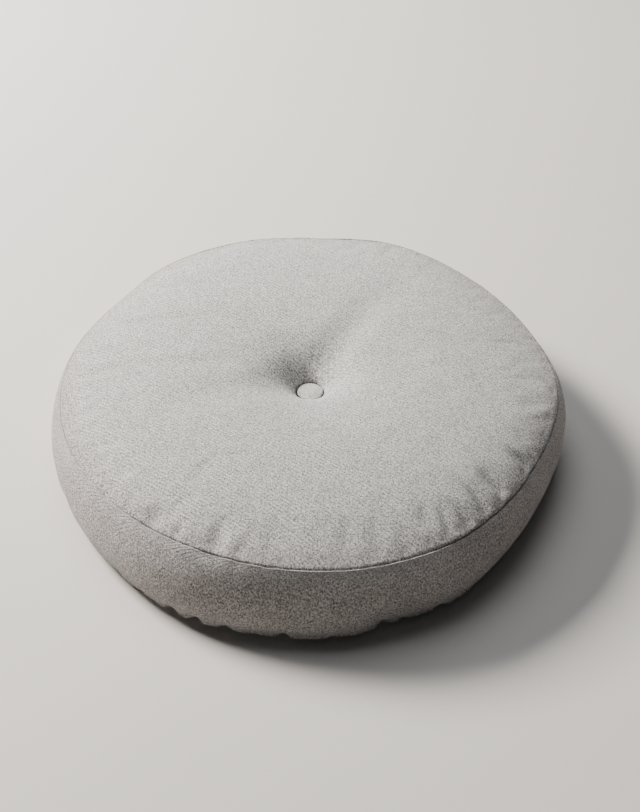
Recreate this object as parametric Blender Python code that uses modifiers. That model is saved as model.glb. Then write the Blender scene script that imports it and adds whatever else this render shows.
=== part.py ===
"""Round boxed seat cushion, tufted in the middle with one covered button.

The cover is cut as two round panels and an upright strip between them. It is turned here as cut,
with a Screw modifier, and each point is then moved to where the filling, the two seams, the tuft
and the folds leave it. The cushion lies on its back: +Z is up and -Y is the front.
"""

import math
from collections import namedtuple

import bpy
from mathutils import Vector

TAU = 2 * math.pi
# Points of a turned shape that lie nearer to each other than this are one point.
WELD = 0.00001

# The cover as it is cut: round panels joined by an upright strip.
CUT_RADIUS = 0.280
CUT_HEIGHT = 0.086
TURN_STEPS = 120

# Top panel: a dome of filling, rolled down into the seam and pulled in at the button.
SEAM_HEIGHT = 0.086
CROWN_RISE = 0.032
CROWN_FULLNESS = 2.6
EDGE_ROLL = 0.0045
SWELL_SPREAD = 0.022
SWELL_REACH = 0.090
TUFT_DEPTH = 0.0385
TUFT_SPREAD = 0.031
# The tuft lies a little off the middle of the seams.
TUFT_SHIFT = Vector((-0.0013, -0.0102))

# How steeply the rim's uneven radius, its uneven height and the folds' fading belong to the
# panel's edge alone: powers of the share of the way out from its middle.
UNEVEN_RADIUS_POWER = 2
UNEVEN_HEIGHT_POWER = 4
FOLD_END_POWER = 6

# Side strip: it leans from the top seam out to the bottom one, bulges between them, leaves both
# seams steeply and rolls over beside the top one.
BULGE_POWER = 1.4
SHOULDER_ROLL = 0.0016
SHOULDER_SPREAD = 0.0025
SHOULDER_REACH = 1 / 3

# Underside: flat where it lies, rising to the bottom seam.
FOOT_HEIGHT = 0.009
FLAT_SHARE = 0.84
FOOT_RISE_POWER = 2

# Covered button, pulled down into a close well in the cloth.
BUTTON_RADIUS = 0.0140
BUTTON_DOME = 0.0030
BUTTON_FULLNESS = 2.6
BUTTON_SIDE = 0.0030
BUTTON_BACK = 0.0020
BUTTON_EDGE_ROUND = 0.0012
BUTTON_BACK_RADIUS = 0.0105
BUTTON_STEPS = 40
WELL_RADIUS = 0.0150
WELL_LIP = 0.0048
WELL_LIP_SPREAD = 0.0009
GAP = 0.0003

# Where the turned rings lie: on the top panel, steps out from the well, then evenly spread, then
# steps in from the seam; on the strip, shares of the way down it; under the foot, shares of the
# bottom panel's radius; on the button, shares of its dome and turns round its edge in degrees.
WELL_STEPS = (0, 0.0008, 0.0022, 0.0045, 0.0085, 0.0145)
OPEN_FIRST = 0.037
OPEN_LAST = 0.258
OPEN_RINGS = 12
SEAM_STEPS = (0.0125, 0.0070, 0.0035, 0.0014)
BAND_SHARES = (0, 0.03, 0.07, 0.13, 0.20, 0.30, 0.41, 0.52, 0.63, 0.73, 0.82, 0.89, 0.95, 1)
UNDERSIDE_SHARES = (0.985, 0.955, 0.91, FLAT_SHARE)
DOME_SHARES = (0.30, 0.55, 0.75)
EDGE_TURNS = (60, 30, 0)

# How the cushion departs from round, going round it from +X towards +Y. Lengths in millimetres:
# the radius and height of the top seam, how far the panel swells up inside it and how far in its
# roll down to the seam reaches, how far the strip bulges, and the bottom seam's radius.
Rim = namedtuple("Rim", "azimuth seam_radius seam_height swell roll bulge foot_radius")
RIM = (
    Rim(0, 274, 87, 3.0, 6, 11, 273),
    Rim(22, 268, 88, 5.5, 24, 8, 269),
    Rim(45, 273, 87, 6.0, 26, 9, 274),
    Rim(70, 285, 87, 3.0, 12, 8, 281),
    Rim(88, 280, 86, 0.5, 4, 9, 279),
    Rim(106, 285, 87, 2.0, 5, 9, 282),
    Rim(128, 283, 88, 6.0, 18, 9, 280),
    Rim(145, 273, 87, 8.0, 26, 10, 276),
    Rim(165, 276, 86, 7.0, 26, 10, 281),
    Rim(185, 277, 86, 4.0, 26, 10, 284),
    Rim(205, 277, 86, 3.2, 12, 11, 284),
    Rim(225, 277, 86, 4.5, 4, 12, 290),
    Rim(245, 278, 86, 5.2, 4, 12, 300),
    Rim(262, 281, 85, 4.6, 4, 10, 300),
    Rim(278, 284, 85, 4.4, 4, 10, 299),
    Rim(286, 284, 85, 4.4, 4, 10, 291),
    Rim(300, 283, 85, 6.8, 4, 11, 289),
    Rim(318, 276, 86, 9.6, 4, 12, 273),
    Rim(335, 271, 87, 8.4, 4, 11, 267),
)

# Long soft folds of the top panel, in millimetres and degrees: each runs straight from a first
# point to a last one, both given as azimuth and radius. It is deepest near the first, where it
# sets in over a short share of its run.
Fold = namedtuple("Fold", "from_azimuth from_radius to_azimuth to_radius half_width depth")
FOLDS = (
    Fold(62, 15, 57, 240, 34, 6.5),
    Fold(205, 15, 203, 215, 32, 3.5),
    Fold(316, 170, 318, 274, 16, 2.2),
    Fold(236, 180, 238, 272, 18, 2.0),
    Fold(20, 120, 12, 262, 26, 1.6),
)
FOLD_SET_IN = 0.15

# Gathers along the foot of the strip, where slack cloth is drawn in to the bottom seam: place
# and half width in degrees, depth in millimetres, and how far up the strip each one reaches.
Gather = namedtuple("Gather", "azimuth half_width depth reach")
GATHERS = (
    Gather(238, 4.0, 3.0, 0.45),
    Gather(246, 3.5, 4.5, 0.35),
    Gather(262, 4.0, 4.0, 0.40),
    Gather(284, 4.5, 5.0, 0.50),
    Gather(305, 5.0, 2.5, 0.60),
    Gather(203, 5.0, 2.5, 0.60),
    Gather(150, 6.0, 3.0, 0.70),
    Gather(100, 5.0, 2.5, 0.50),
    Gather(52, 6.0, 3.0, 0.60),
    Gather(8, 5.0, 3.5, 0.70),
)

CLOTH_GREY = (0.47, 0.455, 0.435, 1.0)
BUTTON_GREY = (0.50, 0.485, 0.465, 1.0)
CLOTH_ROUGHNESS = 0.9


def millimetres(value):
    return value / 1000


def clear_scene():
    for leftover in list(bpy.data.objects):
        bpy.data.objects.remove(leftover)


def cloth_material(name, colour):
    material = bpy.data.materials.new(name)
    material.use_nodes = True
    shader = material.node_tree.nodes["Principled BSDF"]
    shader.inputs["Base Color"].default_value = colour
    shader.inputs["Roughness"].default_value = CLOTH_ROUGHNESS
    shader.inputs["Metallic"].default_value = 0.0
    return material


def bell(offset):
    """A smooth hump, 1 at offset 0 and 0 from offset 1 outwards."""
    if abs(offset) >= 1:
        return 0.0
    return 0.5 + 0.5 * math.cos(math.pi * offset)


def ease(share):
    """A smooth step from 0 at share 0 to 1 at share 1."""
    share = min(max(share, 0.0), 1.0)
    return share * share * (3 - 2 * share)


def settled(distance, spread):
    """How far a roll of cloth has risen at a distance from where it is held, from 0 to 1."""
    return 1 - math.exp(-max(distance, 0.0) / spread)


def round_rim(azimuth, column):
    """One column of RIM at an azimuth in degrees, by a smooth curve through its rows, in metres."""
    rows = len(RIM)
    last = max(index for index in range(rows) if RIM[index].azimuth <= azimuth)
    knots = [RIM[(last + step) % rows] for step in (-1, 0, 1, 2)]
    places = [knot.azimuth for knot in knots]
    for index in (2, 3):
        while places[index] < places[index - 1]:
            places[index] += 360
    while places[0] > places[1]:
        places[0] -= 360
    values = [getattr(knot, column) for knot in knots]
    span = places[2] - places[1]
    share = (azimuth - places[1]) / span
    rise_in = span * (values[2] - values[0]) / (places[2] - places[0])
    rise_out = span * (values[3] - values[1]) / (places[3] - places[1])
    cube, square = share**3, share**2
    value = (
        (2 * cube - 3 * square + 1) * values[1]
        + (cube - 2 * square + share) * rise_in
        + (3 * square - 2 * cube) * values[2]
        + (cube - square) * rise_out
    )
    return millimetres(value)


def polar(azimuth, radius):
    """The plan point at an azimuth in degrees and a radius in metres."""
    angle = math.radians(azimuth)
    return Vector((radius * math.cos(angle), radius * math.sin(angle)))


def fold_depth(plan):
    """How far the long folds lower the top panel at a point of the plan."""
    depth = 0.0
    for fold in FOLDS:
        start = polar(fold.from_azimuth, millimetres(fold.from_radius))
        run = polar(fold.to_azimuth, millimetres(fold.to_radius)) - start
        along = (plan - start).dot(run) / run.length_squared
        across = (plan - start - along * run).length / millimetres(fold.half_width)
        if 0 < along < 1:
            fade = ease(along / FOLD_SET_IN) * (1 - along)
            depth += millimetres(fold.depth) * bell(across) * fade
    return depth


def gather_depth(azimuth, share):
    """How far the foot's gathers draw the strip in, share being 0 at its top and 1 at its foot."""
    depth = 0.0
    for gather in GATHERS:
        turn = (azimuth - gather.azimuth + 180) % 360 - 180
        climb = ease(1 - (1 - share) / gather.reach)
        depth += millimetres(gather.depth) * bell(turn / gather.half_width) * climb
    return depth


def top_panel_place(azimuth, share):
    """Radius and height of the top panel at a share of the way from its middle to the seam."""
    seam_radius = round_rim(azimuth, "seam_radius")
    seam_height = round_rim(azimuth, "seam_height")
    swell = round_rim(azimuth, "swell")
    radius = share * (CUT_RADIUS + (seam_radius - CUT_RADIUS) * share**UNEVEN_RADIUS_POWER)
    from_seam = seam_radius - radius
    height = SEAM_HEIGHT + (seam_height - SEAM_HEIGHT) * share**UNEVEN_HEIGHT_POWER
    height += CROWN_RISE * (1 - share**CROWN_FULLNESS)
    height += EDGE_ROLL * settled(from_seam, round_rim(azimuth, "roll"))
    swell *= settled(from_seam, SWELL_SPREAD) * math.exp(-from_seam / SWELL_REACH)
    height += swell * share
    from_well = radius - WELL_RADIUS
    height -= TUFT_DEPTH * (1 - settled(from_well, TUFT_SPREAD))
    height -= WELL_LIP * (1 - settled(from_well, WELL_LIP_SPREAD))
    if from_well > 0:
        height -= fold_depth(polar(azimuth, radius)) * (1 - share**FOLD_END_POWER)
    return radius, height


def well_floor():
    """Height of the flat floor of the button's well: the top panel's at its very middle."""
    return SEAM_HEIGHT + CROWN_RISE + EDGE_ROLL - TUFT_DEPTH - WELL_LIP


def band_place(azimuth, share):
    """Radius and height of the strip at a share of the way down from the top seam."""
    seam_radius = round_rim(azimuth, "seam_radius")
    seam_height = round_rim(azimuth, "seam_height")
    foot_radius = round_rim(azimuth, "foot_radius")
    bulge = round_rim(azimuth, "bulge")
    angle = math.pi * (0.5 - share)
    outward = abs(math.cos(angle)) ** BULGE_POWER
    middle = (seam_height + FOOT_HEIGHT) / 2
    height = middle + (seam_height - middle) * math.sin(angle)
    lean = (seam_height - height) / (seam_height - FOOT_HEIGHT)
    radius = seam_radius + (foot_radius - seam_radius) * lean + bulge * outward
    radius -= gather_depth(azimuth, share) * outward
    roll = SHOULDER_ROLL * settled(radius - seam_radius, SHOULDER_SPREAD)
    height += roll * (1 - ease(share / SHOULDER_REACH))
    return radius, height


def underside_place(azimuth, share):
    """Radius and height of the bottom panel at a share of the way from its middle to the seam."""
    foot_radius = round_rim(azimuth, "foot_radius")
    radius = share * (CUT_RADIUS + (foot_radius - CUT_RADIUS) * share**UNEVEN_RADIUS_POWER)
    rise = max(share - FLAT_SHARE, 0) / (1 - FLAT_SHARE)
    return radius, FOOT_HEIGHT * rise**FOOT_RISE_POWER


def filled_place(cut_point):
    """Where a point of the flat-cut cover lies once the cushion is filled, sewn and tufted."""
    cut_radius = math.hypot(cut_point.x, cut_point.y)
    azimuth = math.degrees(math.atan2(cut_point.y, cut_point.x)) % 360
    share = cut_radius / CUT_RADIUS
    shift = 0.0
    if cut_radius > CUT_RADIUS - WELD:
        radius, height = band_place(azimuth, 1 - cut_point.z / CUT_HEIGHT)
    elif cut_point.z > CUT_HEIGHT / 2:
        radius, height = top_panel_place(azimuth, share)
        shift = 1 - ease(share)
    else:
        radius, height = underside_place(azimuth, share)
    plan = polar(azimuth, radius) + shift * TUFT_SHIFT
    return Vector((plan.x, plan.y, height))


def top_panel_radii():
    """Radii of the top panel's rings, close together at the well and at the seam."""
    lip = [WELL_RADIUS + step for step in WELL_STEPS]
    pitch = (OPEN_LAST - OPEN_FIRST) / (OPEN_RINGS - 1)
    spread = [OPEN_FIRST + pitch * ring for ring in range(OPEN_RINGS)]
    return lip + spread + [CUT_RADIUS - step for step in SEAM_STEPS]


def turned(name, profile, steps):
    """A mesh object turned from (radius, height) points that run down the outer side."""
    mesh = bpy.data.meshes.new(name)
    points = [(radius, 0.0, height) for radius, height in profile]
    edges = [(index, index + 1) for index in range(len(points) - 1)]
    mesh.from_pydata(points, edges, [])
    solid = bpy.data.objects.new(name, mesh)
    screw = solid.modifiers.new("turn", "SCREW")
    screw.axis = "Z"
    screw.angle = TAU
    screw.steps = steps
    screw.render_steps = steps
    screw.use_merge_vertices = True
    screw.merge_threshold = WELD
    return solid


def applied(solid):
    """Replaces an object's mesh by the one that its modifiers make."""
    bpy.context.view_layer.update()
    graph = bpy.context.evaluated_depsgraph_get()
    solid.data = bpy.data.meshes.new_from_object(solid.evaluated_get(graph))
    solid.modifiers.clear()


def cut_cover_profile():
    """The flat-cut cover's half section, from the middle of its top to the middle of its foot."""
    profile = [(0.0, CUT_HEIGHT)]
    profile += [(radius, CUT_HEIGHT) for radius in top_panel_radii()]
    profile += [(CUT_RADIUS, CUT_HEIGHT * (1 - share)) for share in BAND_SHARES]
    profile += [(CUT_RADIUS * share, 0.0) for share in UNDERSIDE_SHARES]
    return profile + [(0.0, 0.0)]


def button_profile():
    """The covered button's half section, from the top of its dome to the middle of its back."""
    base = well_floor() + GAP
    rim = base + BUTTON_BACK + BUTTON_SIDE
    profile = [(0.0, rim + BUTTON_DOME)]
    for share in DOME_SHARES:
        height = rim + BUTTON_DOME * (1 - share**BUTTON_FULLNESS)
        profile.append((share * BUTTON_RADIUS, height))
    corner = BUTTON_RADIUS - BUTTON_EDGE_ROUND
    for turn in EDGE_TURNS:
        angle = math.radians(turn)
        out = corner + BUTTON_EDGE_ROUND * math.cos(angle)
        profile.append((out, rim + BUTTON_EDGE_ROUND * math.sin(angle)))
    profile.append((BUTTON_RADIUS, base + BUTTON_BACK))
    profile.append((BUTTON_BACK_RADIUS, base))
    return profile + [(0.0, base)]


def plan_centre(solid):
    """The middle of an object's outline as seen from above."""
    across = [vertex.co.x for vertex in solid.data.vertices]
    along = [vertex.co.y for vertex in solid.data.vertices]
    return Vector(((min(across) + max(across)) / 2, (min(along) + max(along)) / 2, 0.0))


def build_cushion(collection):
    """The one filled solid: top panel, side strip and bottom panel, with their two seams."""
    cushion = turned("cushion", cut_cover_profile(), TURN_STEPS)
    collection.objects.link(cushion)
    applied(cushion)
    for vertex in cushion.data.vertices:
        vertex.co = filled_place(vertex.co)
    cushion.data.shade_smooth()
    cushion.data.materials.append(cloth_material("woven_cloth", CLOTH_GREY))
    return cushion


def build_button(collection):
    """The cloth-covered button, its back just clear of the floor of the well."""
    button = turned("button", button_profile(), BUTTON_STEPS)
    collection.objects.link(button)
    applied(button)
    button.data.shade_smooth()
    button.data.materials.append(cloth_material("button_cloth", BUTTON_GREY))
    return button


def main():
    clear_scene()
    collection = bpy.data.collections.new("round_seat_cushion")
    bpy.context.scene.collection.children.link(collection)
    cushion = build_cushion(collection)
    button = build_button(collection)
    # The uneven outline is centred on the origin, and the button moves with it.
    centre = bpy.data.objects.new("outline_centre", None)
    collection.objects.link(centre)
    centre.location = -plan_centre(cushion)
    cushion.parent = centre
    button.location.xy = TUFT_SHIFT
    button.parent = centre


main()
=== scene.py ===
"""Dresses the round boxed seat cushion: its filled, tufted cloth cover and the covered button.

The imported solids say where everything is. The cover is laid out as it is cut, moved to its filled
form, settled with Blender's cloth so that its slack gathers beside the seams, and then sewn: seam
lines, turned-in ridges, puckers and notches. Lengths are in metres unless a name ends in _mm or a
table says that its own are in mm.
"""

import logging
import math
from collections.abc import Sequence
from dataclasses import dataclass, field
from enum import Enum
from functools import partial

import bpy
import numpy as np
from mathutils import Matrix, Vector


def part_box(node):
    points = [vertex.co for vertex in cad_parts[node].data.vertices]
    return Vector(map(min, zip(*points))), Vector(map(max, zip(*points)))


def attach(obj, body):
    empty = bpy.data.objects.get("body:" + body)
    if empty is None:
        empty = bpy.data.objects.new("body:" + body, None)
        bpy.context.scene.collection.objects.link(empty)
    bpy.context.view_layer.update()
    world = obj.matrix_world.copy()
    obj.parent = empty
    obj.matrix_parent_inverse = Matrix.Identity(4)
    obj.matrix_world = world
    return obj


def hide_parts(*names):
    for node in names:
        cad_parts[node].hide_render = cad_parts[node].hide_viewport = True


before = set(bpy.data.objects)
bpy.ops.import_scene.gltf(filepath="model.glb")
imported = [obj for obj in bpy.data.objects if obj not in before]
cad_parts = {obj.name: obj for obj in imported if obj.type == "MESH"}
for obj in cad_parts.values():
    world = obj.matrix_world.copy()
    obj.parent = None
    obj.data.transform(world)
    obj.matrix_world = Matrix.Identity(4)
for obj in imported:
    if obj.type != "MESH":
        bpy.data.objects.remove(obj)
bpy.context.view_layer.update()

FULL_TURN = 360.0
MILLIMETRE = 0.001
# Keeps a division by a length from failing where the length is 0.
TINY = 1e-9
PLACE_ATTRIBUTE = "cut_place"
# Painted shade on the cover, from 0 to 1, for its material to read; where it is lessened, painted
# light.
PAINTED_SHADE_ATTRIBUTE = "painted_shade_share"

Socket = bpy.types.NodeSocket
Tree = bpy.types.NodeTree

log = logging.getLogger("round_seat_cushion")


class Panel(Enum):
    """The three cut pieces of cloth in the cover."""

    TOP = "top panel"
    BAND = "side band"
    BOTTOM = "bottom panel"


# A ring's panel, and its share of the way out from a round panel's middle or down the band.
Ring = tuple[Panel, float]


# ---------------------------------------------------------------- small helpers


def linear(hex_colour: str) -> tuple[float, float, float, float]:
    """Turns an sRGB colour into the linear one that a shader takes, by the standard's curve.

    Args:
        hex_colour: six hex digits after a hash sign.

    Returns:
        Linear red, green and blue, and an alpha of 1.
    """
    channels = [int(hex_colour[start : start + 2], 16) / 255 for start in (1, 3, 5)]
    red, green, blue = (
        channel / 12.92 if channel <= 0.04045 else ((channel + 0.055) / 1.055) ** 2.4
        for channel in channels
    )
    return red, green, blue, 1.0


def bell(offset: np.ndarray) -> np.ndarray:
    """A smooth hump: 1 at offset 0, and 0 from an offset of 1 outwards."""
    return np.where(np.abs(offset) < 1, 0.5 + 0.5 * np.cos(np.pi * offset), 0.0)


def hump(offset: float, half_width: float) -> float:
    """A rounded rise of height 1 that fades within about twice its half width."""
    return math.exp(-((offset / half_width) ** 2))


def ease(share: np.ndarray | float) -> np.ndarray | float:
    """A smooth step from 0 at share 0 to 1 at share 1."""
    held = np.clip(share, 0.0, 1.0)
    return held * held * (3 - 2 * held)


def settled(distance: np.ndarray, spread: np.ndarray | float) -> np.ndarray:
    """How far a roll of cloth has risen at a distance from where it is held, from 0 to 1."""
    return 1 - np.exp(-np.maximum(distance, 0.0) / spread)


def turn_between(azimuth: np.ndarray, centre: float) -> np.ndarray:
    """The signed turn in degrees from a centre to each azimuth, the short way round."""
    half = FULL_TURN / 2
    return (azimuth - centre + half) % FULL_TURN - half


def curve_between(
    share: np.ndarray,
    ends: tuple[np.ndarray, np.ndarray],
    slopes: tuple[np.ndarray, np.ndarray],
    span: np.ndarray | float = 1.0,
) -> np.ndarray:
    """A smooth curve from one value to the next.

    Args:
        share: the place between them, from 0 to 1.
        ends: the two values.
        slopes: the curve's slope at each.
        span: the distance between the values, in the slopes' measure.

    Returns:
        The curve's value at each place.
    """
    square, cube = share**2, share**3
    return (
        (2 * cube - 3 * square + 1) * ends[0]
        + (cube - 2 * square + share) * span * slopes[0]
        + (3 * square - 2 * cube) * ends[1]
        + (cube - square) * span * slopes[1]
    )


def sampled(values: np.ndarray, places: np.ndarray, closed: bool) -> np.ndarray:
    """Reads a row of values between its entries, along a smooth curve through them.

    Args:
        values: the entries, along the first axis.
        places: fractional indexes into that axis.
        closed: whether the last entry is followed by the first.

    Returns:
        One entry for each place.
    """
    count = len(values)
    first = np.floor(places).astype(int)
    share = (places - first).reshape((-1,) + (1,) * (values.ndim - 1))
    knots = []
    for step in (-1, 0, 1, 2):
        index = (first + step) % count if closed else np.clip(first + step, 0, count - 1)
        knots.append(values[index])
    before, start, end, after = knots
    return curve_between(share, (start, end), ((end - before) / 2, (after - start) / 2))


def grid_normals(points: np.ndarray) -> np.ndarray:
    """Unit normals of a grid of points that runs outwards along its rows and closes round them.

    Args:
        points: places by ring, by step round the ring, and by coordinate.

    Returns:
        Normals of the same shape, pointing out of the cover.
    """
    outwards = np.gradient(points, axis=0)
    around_ring = np.roll(points, -1, axis=1) - np.roll(points, 1, axis=1)
    normals = np.cross(outwards, around_ring)
    lengths = np.linalg.norm(normals, axis=2, keepdims=True)
    return normals / np.maximum(lengths, TINY)


def closed_mesh(name: str, points: np.ndarray, start: Vector, end: Vector) -> bpy.types.Mesh:
    """Makes a closed mesh from a grid of rings, with a fan of triangles at either end.

    Args:
        name: the mesh's name.
        points: places by ring, by step round the ring, and by coordinate.
        start: the point in the middle of the first ring.
        end: the point in the middle of the last ring.

    Returns:
        The mesh: ring by ring, then the two middle points.
    """
    rings, steps = points.shape[:2]
    places = np.vstack([points.reshape(-1, 3), np.array([start, end])])
    index = np.arange(rings * steps).reshape(rings, steps)
    beside = np.roll(index, -1, axis=1)
    walls = np.stack([index[:-1], index[1:], beside[1:], beside[:-1]], axis=2).reshape(-1, 4)
    first, last = rings * steps, rings * steps + 1
    faces = walls.tolist()
    faces += [(first, int(a), int(b)) for a, b in zip(index[0], beside[0])]
    faces += [(last, int(b), int(a)) for a, b in zip(index[-1], beside[-1])]
    mesh = bpy.data.meshes.new(name)
    mesh.from_pydata(places.tolist(), [], faces)
    mesh.update()
    return mesh


def write_attribute(mesh: bpy.types.Mesh, name: str, values: np.ndarray) -> None:
    """Writes a number or a vector at every point of a mesh, for its material to read.

    Args:
        mesh: the mesh.
        name: the attribute's name.
        values: a number or a row of three for each point.
    """
    kind, key = ("FLOAT", "value") if values.ndim == 1 else ("FLOAT_VECTOR", "vector")
    attribute = mesh.attributes.new(name, kind, "POINT")
    attribute.data.foreach_set(key, values.astype(np.float32).ravel())


def linked_object(name: str, data: bpy.types.ID) -> bpy.types.Object:
    """Makes an object and puts it in the scene.

    Args:
        name: the object's name.
        data: its mesh, light or camera.

    Returns:
        The object.
    """
    made = bpy.data.objects.new(name, data)
    bpy.context.scene.collection.objects.link(made)
    return made


def empty_tree(owner: bpy.types.Material | bpy.types.World) -> Tree:
    """Gives a material or a world a node tree with nothing in it.

    Args:
        owner: the new material or world.

    Returns:
        Its node tree.
    """
    owner.use_nodes = True
    owner.node_tree.nodes.clear()
    return owner.node_tree


def add_node(
    tree: Tree,
    kind: str,
    inputs: dict | Sequence = (),
    output: int | str = 0,
    **settings: str,
) -> Socket | None:
    """Adds a shader node with its settings and its links.

    Args:
        tree: the node tree that the node goes into.
        kind: the node's type name, without the ShaderNode that they all begin with.
        inputs: values, or sockets to link from, in the order of the node's inputs, or by the
            name or number of each.
        output: the name or number of the output that is wanted.
        settings: the node's own properties by name.

    Returns:
        That output's socket, or None where the node has no outputs.
    """
    node = tree.nodes.new("ShaderNode" + kind)
    for name, value in settings.items():
        setattr(node, name, value)
    for name, value in inputs.items() if isinstance(inputs, dict) else enumerate(inputs):
        if isinstance(value, Socket):
            tree.links.new(value, node.inputs[name])
        else:
            node.inputs[name].default_value = value
    return node.outputs[output] if node.outputs else None


# ---------------------------------------------------------------- finishes


@dataclass(frozen=True)
class WovenCloth:
    """Brushed upholstery cloth, woven in ribs of spun polyester yarns dyed in mixed greys.

    The weave gives the eye a fine slanting rib, the mixed fibres a warm grey heather, and the
    brushing a dull, faintly bright-edged surface with no shine.

    Attributes:
        name: the material's name.
        shades: sRGB colours of the fibres, from the darkest to the lightest.
        shade_stops: where each shade lies between the darkest and the lightest fibre.
        yarn_mm: the spacing of the yarns. The real one is about 1 mm, too fine to show in the
            whole view, so it is drawn a third larger.
        warp_turn: the turn of the warp from the cloth's first direction, in degrees.
        stray: how far spun yarns lie off their line, in yarns.
        stray_scale: how often they do so, for each yarn.
        depth_mm: how far the yarns stand out of the cloth.
        yarn_power: how round a yarn is, as a power.
        crossing: how softly warp and weft change places where they cross.
        rib_yarns: how many yarns lie together as one rib.
        rib_relief: how far a rib stands out, as a share of that depth.
        cross_rib: how strong the ribs across the first ones are, as a share of them.
        rib_nap: the levels of nap at which the ribs show least and in full.
        least_rib: how much of them shows at the first of those.
        rib_hidden: how far the ribs are hidden where shade is painted, from 0 to 1.
        rib_painted_shade: painted shade in the gaps between yarns, as how much lighter a crown is.
        fleck: how strongly single crossings differ in shade.
        fibre_scale: how often the fibres' shade changes, for each yarn.
        slub: how many yarns long a stretch of one shade is.
        weft_draw: how far off in the same noise the weft's shades are read.
        fuzz_mm: the width of the tufts of brushed fibre that blur the weave.
        fuzz: how much those tufts change the shade and the height.
        cloud_mm: the width of the patches where the brushed nap lies lighter or darker.
        cloud: how much those patches change the colour, as a share.
        cloud_nap: the levels of nap at which they do so in full, darker and lighter.
        painted_shade_tint: sRGB tint where shade is painted: darker and a little warm, as painted
            warm light thrown up from below.
        mean_noise: the level of a noise that leaves the shade as it is.
        mean_height: the height in the weave at which that painted shade leaves a yarn as it is.
        roughness: spun fibre scatters almost all light.
        ior: a polyester fibre's, a little lowered by the air between the fibres.
        specular: how much of the fibre's own reflection is left in a brushed cloth.
        sheen: how much the nap brightens at a grazing view.
        sheen_roughness: how widely it does so.
        sheen_tint: sRGB colour of that edge.
    """

    name: str
    shades: tuple[str, ...]
    shade_stops: tuple[float, ...] = (0.12, 0.42, 0.62, 0.95)
    yarn_mm: float = 1.33
    warp_turn: float = 36.0
    stray: float = 0.9
    stray_scale: float = 0.3
    depth_mm: float = 0.4
    yarn_power: float = 0.7
    crossing: float = 0.25
    rib_yarns: float = 3.0
    rib_relief: float = 1.3
    cross_rib: float = 0.25
    rib_nap: tuple[float, float] = (0.35, 0.6)
    least_rib: float = 0.3
    rib_hidden: float = 0.9
    rib_painted_shade: float = 0.17
    fleck: float = 0.45
    fibre_scale: float = 1.5
    slub: float = 1.3
    weft_draw: float = 37.0
    fuzz_mm: float = 1.6
    fuzz: float = 1.5
    cloud_mm: float = 38.0
    cloud: float = 0.055
    cloud_nap: tuple[float, float] = (0.3, 0.7)
    painted_shade_tint: str = "#e8e3e2"
    mean_noise: float = 0.5
    mean_height: float = 0.5
    roughness: float = 0.93
    ior: float = 1.5
    specular: float = 0.25
    sheen: float = 0.15
    sheen_roughness: float = 0.5
    sheen_tint: str = "#f4f1ee"

    def material(self) -> bpy.types.Material:
        """Builds the cloth's material.

        Returns:
            The material, which reads the cloth's own flat-cut places.
        """
        material = bpy.data.materials.new(self.name)
        tree = empty_tree(material)
        add = partial(add_node, tree)
        place = add("Attribute", output="Vector", attribute_name=PLACE_ATTRIBUTE)
        # Where shade is painted: the band darker and warmer, the seams and creases darker.
        painted_shade = add("Attribute", output="Fac", attribute_name=PAINTED_SHADE_ATTRIBUTE)
        nap, fuzz = (
            add("TexNoise", {"Vector": place, "Scale": 1 / (wide * MILLIMETRE), "Detail": detail})
            for wide, detail in ((self.cloud_mm, 3.0), (self.fuzz_mm, 1.0))
        )
        counted = self._yarn_counts(tree, place)
        over, weave = self._weave(tree, counted, nap, painted_shade)
        height = add("Math", (fuzz, self.fuzz, weave), operation="MULTIPLY_ADD")
        relief = {"Strength": 1.0, "Distance": self.depth_mm * MILLIMETRE, "Height": height}
        surface = {
            "Base Color": self._colour(tree, counted, over, weave, fuzz, nap, painted_shade),
            "Metallic": 0.0,
            "Roughness": self.roughness,
            "IOR": self.ior,
            "Specular IOR Level": self.specular,
            "Sheen Weight": self.sheen,
            "Sheen Roughness": self.sheen_roughness,
            "Sheen Tint": linear(self.sheen_tint),
            "Normal": add("Bump", relief),
        }
        add("OutputMaterial", {"Surface": add("BsdfPrincipled", surface)})
        return material

    def _yarn_counts(self, tree: Tree, place: Socket) -> Socket:
        """Counts yarns along the cloth's two directions.

        Args:
            tree: the material's node tree.
            place: where a point lies on the flat-cut cloth.

        Returns:
            The warp's count as X and the weft's as Y, at each point of the cloth.
        """
        add = partial(add_node, tree)
        turn = {"Vector": place, "Angle": math.radians(self.warp_turn)}
        turned = add("VectorRotate", turn, rotation_type="Z_AXIS")
        spacing = {"Vector": turned, "Scale": 1 / (self.yarn_mm * MILLIMETRE)}
        counted = add("VectorMath", spacing, operation="SCALE")
        wander = {"Vector": counted, "Scale": self.stray_scale, "Detail": 1.0}
        stray = (add("TexNoise", wander, "Color"), (self.stray, self.stray, 0.0), counted)
        return add("VectorMath", stray, operation="MULTIPLY_ADD")

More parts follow.
